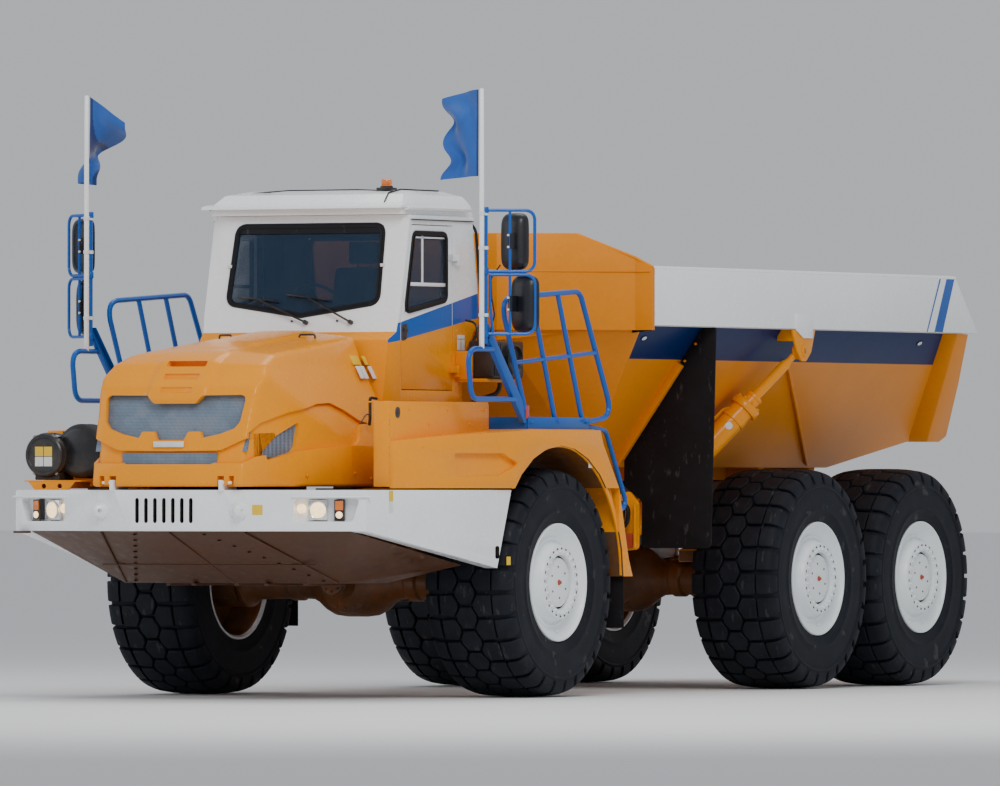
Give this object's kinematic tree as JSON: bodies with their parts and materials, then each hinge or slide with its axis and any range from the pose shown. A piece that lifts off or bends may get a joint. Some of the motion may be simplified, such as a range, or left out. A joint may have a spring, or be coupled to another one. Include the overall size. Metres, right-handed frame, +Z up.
{
  "type": "articulated dump truck",
  "caption": "Six-wheel articulated dump truck: a cab unit hitched to a rear unit with a tipping body, twin hoist cylinders and an upright cab on a white bumper.",
  "frame": {"origin": "on the ground under the middle of the truck's bounding box", "axes": "+Y rearward along the truck, +X towards its left side, +Z up"},
  "size_m": [4.1458, 10.8534, 4.64],
  "materials": {
    "orange_paint": "gloss orange paint",
    "white_paint": "gloss white paint",
    "blue_paint": "gloss blue paint",
    "frame_paint": "dull orange-brown paint",
    "tyre_rubber": "matt black rubber",
    "black_plastic": "satin black",
    "rubber": "matt black rubber",
    "grey_mesh": "grey painted mesh",
    "dark_steel": "dark cast metal",
    "chromed_rod": "chromed",
    "glass": "tinted glass",
    "flag_cloth": "woven blue cloth",
    "seat_cloth": "dark woven cloth"
  },
  "bodies": {
    "front_unit": {"front_frame": "frame_paint", "bumper": "white_paint", "belly_plate": "frame_paint", "fender_left": "orange_paint", "fender_right": "orange_paint", "side_box_left": "orange_paint", "side_box_right": "orange_paint", "air_cleaner": "black_plastic", "cab_shell": "white_paint", "cab_roof": "white_paint", "windshield": "glass", "operator_seat": "seat_cloth", "dashboard": "black_plastic", "engine_block": "dark_steel", "front_axle": "frame_paint", "handrail_left": "blue_paint", "handrail_right": "blue_paint", "mirrors_left": "black_plastic", "mirrors_right": "black_plastic", "flag_pole_left": "white_paint", "flag_pole_right": "white_paint", "flag_left": "flag_cloth", "flag_right": "flag_cloth"},
    "hood": {"hood": "orange_paint", "grille": "grey_mesh"},
    "door_left": {"door_left": "orange_paint"},
    "door_right": {"door_right": "orange_paint"},
    "hitch": {"hitch_yoke": "frame_paint"},
    "rear_unit": {"rear_frame": "frame_paint", "middle_axle": "frame_paint", "rear_axle": "frame_paint", "walking_beams": "frame_paint"},
    "dump_body": {"dump_tub": "orange_paint", "side_board_left": "white_paint", "side_board_right": "white_paint", "mud_flap_left": "rubber", "mud_flap_right": "rubber"},
    "steer_barrel_left": {"steer_barrel_left": "orange_paint"},
    "steer_rod_left": {"steer_rod_left": "chromed_rod"},
    "hoist_barrel_left": {"hoist_barrel_left": "orange_paint"},
    "hoist_sleeve_left": {"hoist_sleeve_left": "orange_paint"},
    "hoist_rod_left": {"hoist_rod_left": "orange_paint"},
    "steer_barrel_right": {"steer_barrel_right": "orange_paint"},
    "steer_rod_right": {"steer_rod_right": "chromed_rod"},
    "hoist_barrel_right": {"hoist_barrel_right": "orange_paint"},
    "hoist_sleeve_right": {"hoist_sleeve_right": "orange_paint"},
    "hoist_rod_right": {"hoist_rod_right": "orange_paint"},
    "wheel_front_left": {"tyre_front_left": "tyre_rubber", "rim_front_left": "white_paint"},
    "wheel_front_right": {"tyre_front_right": "tyre_rubber", "rim_front_right": "white_paint"},
    "wheel_middle_left": {"tyre_middle_left": "tyre_rubber", "rim_middle_left": "white_paint"},
    "wheel_middle_right": {"tyre_middle_right": "tyre_rubber", "rim_middle_right": "white_paint"},
    "wheel_rear_left": {"tyre_rear_left": "tyre_rubber", "rim_rear_left": "white_paint"},
    "wheel_rear_right": {"tyre_rear_right": "tyre_rubber", "rim_rear_right": "white_paint"}
  },
  "joints": [
    {"name": "steering", "type": "hinge", "parent": "front_unit", "child": "hitch", "pos_m": [0, -1.0667, 1.15], "axis": [0, 0, 1], "range_deg": [-42, 42]},
    {"name": "roll", "type": "hinge", "parent": "hitch", "child": "rear_unit", "pos_m": [0, -0.4767, 1.15], "axis": [0, 1, 0], "range_deg": [-15, 15]},
    {"name": "tip", "type": "hinge", "parent": "rear_unit", "child": "dump_body", "pos_m": [0, 4.0733, 1.5], "axis": [-1, 0, 0], "range_deg": [0, 70]},
    {"name": "hood_tilt", "type": "hinge", "parent": "front_unit", "child": "hood", "pos_m": [0, -5.3817, 1.645], "axis": [1, 0, 0], "range_deg": [0, 55]},
    {"name": "door_left_swing", "type": "hinge", "parent": "front_unit", "child": "door_left", "pos_m": [0.89, -2.4567, 2.95], "axis": [0, 0, 1], "range_deg": [0, 50]},
    {"name": "door_right_swing", "type": "hinge", "parent": "front_unit", "child": "door_right", "pos_m": [-0.89, -2.4567, 2.95], "axis": [0, 0, -1], "range_deg": [0, 50]},
    {"name": "steer_barrel_left_swing", "type": "hinge", "parent": "front_unit", "child": "steer_barrel_left", "pos_m": [0.5, -2.0667, 1.15], "axis": [0, 0, 1], "range_deg": [-3.39, 3.39]},
    {"name": "steer_rod_left_slide", "type": "slide", "parent": "steer_barrel_left", "child": "steer_rod_left", "axis": [-0.0995, 0.995, 0], "range_m": [-0.2639, 0.2639]},
    {"name": "hoist_barrel_left_swing", "type": "hinge", "parent": "rear_unit", "child": "hoist_barrel_left", "pos_m": [0.57, 0.6733, 1.12], "axis": [-0.6255, -0.3645, 0.6899], "range_deg": [0, 23.83]},
    {"name": "hoist_sleeve_left_slide", "type": "slide", "parent": "hoist_barrel_left", "child": "hoist_sleeve_left", "axis": [0.509, 0.4796, 0.7148], "range_m": [0, 1.3521]},
    {"name": "hoist_rod_left_slide", "type": "slide", "parent": "hoist_sleeve_left", "child": "hoist_rod_left", "axis": [0.509, 0.4796, 0.7148], "range_m": [0, 1.3521]},
    {"name": "steer_barrel_right_swing", "type": "hinge", "parent": "front_unit", "child": "steer_barrel_right", "pos_m": [-0.5, -2.0667, 1.15], "axis": [0, 0, 1], "range_deg": [-3.39, 3.39]},
    {"name": "steer_rod_right_slide", "type": "slide", "parent": "steer_barrel_right", "child": "steer_rod_right", "axis": [0.0995, 0.995, 0], "range_m": [-0.2639, 0.2639]},
    {"name": "hoist_barrel_right_swing", "type": "hinge", "parent": "rear_unit", "child": "hoist_barrel_right", "pos_m": [-0.57, 0.6733, 1.12], "axis": [-0.6255, 0.3645, -0.6899], "range_deg": [0, 23.83]},
    {"name": "hoist_sleeve_right_slide", "type": "slide", "parent": "hoist_barrel_right", "child": "hoist_sleeve_right", "axis": [-0.509, 0.4796, 0.7148], "range_m": [0, 1.3521]},
    {"name": "hoist_rod_right_slide", "type": "slide", "parent": "hoist_sleeve_right", "child": "hoist_rod_right", "axis": [-0.509, 0.4796, 0.7148], "range_m": [0, 1.3521]},
    {"name": "wheel_front_left_spin", "type": "hinge", "parent": "front_unit", "child": "wheel_front_left", "pos_m": [1.41, -2.4267, 0.88], "axis": [1, 0, 0], "continuous": true},
    {"name": "wheel_front_right_spin", "type": "hinge", "parent": "front_unit", "child": "wheel_front_right", "pos_m": [-1.41, -2.4267, 0.88], "axis": [1, 0, 0], "continuous": true},
    {"name": "wheel_middle_left_spin", "type": "hinge", "parent": "rear_unit", "child": "wheel_middle_left", "pos_m": [1.41, 1.9583, 0.88], "axis": [1, 0, 0], "continuous": true},
    {"name": "wheel_middle_right_spin", "type": "hinge", "parent": "rear_unit", "child": "wheel_middle_right", "pos_m": [-1.41, 1.9583, 0.88], "axis": [1, 0, 0], "continuous": true},
    {"name": "wheel_rear_left_spin", "type": "hinge", "parent": "rear_unit", "child": "wheel_rear_left", "pos_m": [1.41, 3.7933, 0.88], "axis": [1, 0, 0], "continuous": true},
    {"name": "wheel_rear_right_spin", "type": "hinge", "parent": "rear_unit", "child": "wheel_rear_right", "pos_m": [-1.41, 3.7933, 0.88], "axis": [1, 0, 0], "continuous": true}
  ],
  "couplings": [
    {"joint": "steer_barrel_left_swing", "follows": "steering", "ratio": -0.076042},
    {"joint": "steer_rod_left_slide", "follows": "steering", "m_per_rad": 0.35733},
    {"joint": "hoist_barrel_left_swing", "follows": "tip", "ratio": 0.33763},
    {"joint": "hoist_sleeve_left_slide", "follows": "tip", "m_per_rad": 1.1043},
    {"joint": "hoist_rod_left_slide", "follows": "tip", "m_per_rad": 1.1043},
    {"joint": "steer_barrel_right_swing", "follows": "steering", "ratio": -0.076042},
    {"joint": "steer_rod_right_slide", "follows": "steering", "m_per_rad": -0.35733},
    {"joint": "hoist_barrel_right_swing", "follows": "tip", "ratio": 0.33763},
    {"joint": "hoist_sleeve_right_slide", "follows": "tip", "m_per_rad": 1.1043},
    {"joint": "hoist_rod_right_slide", "follows": "tip", "m_per_rad": 1.1043}
  ]
}
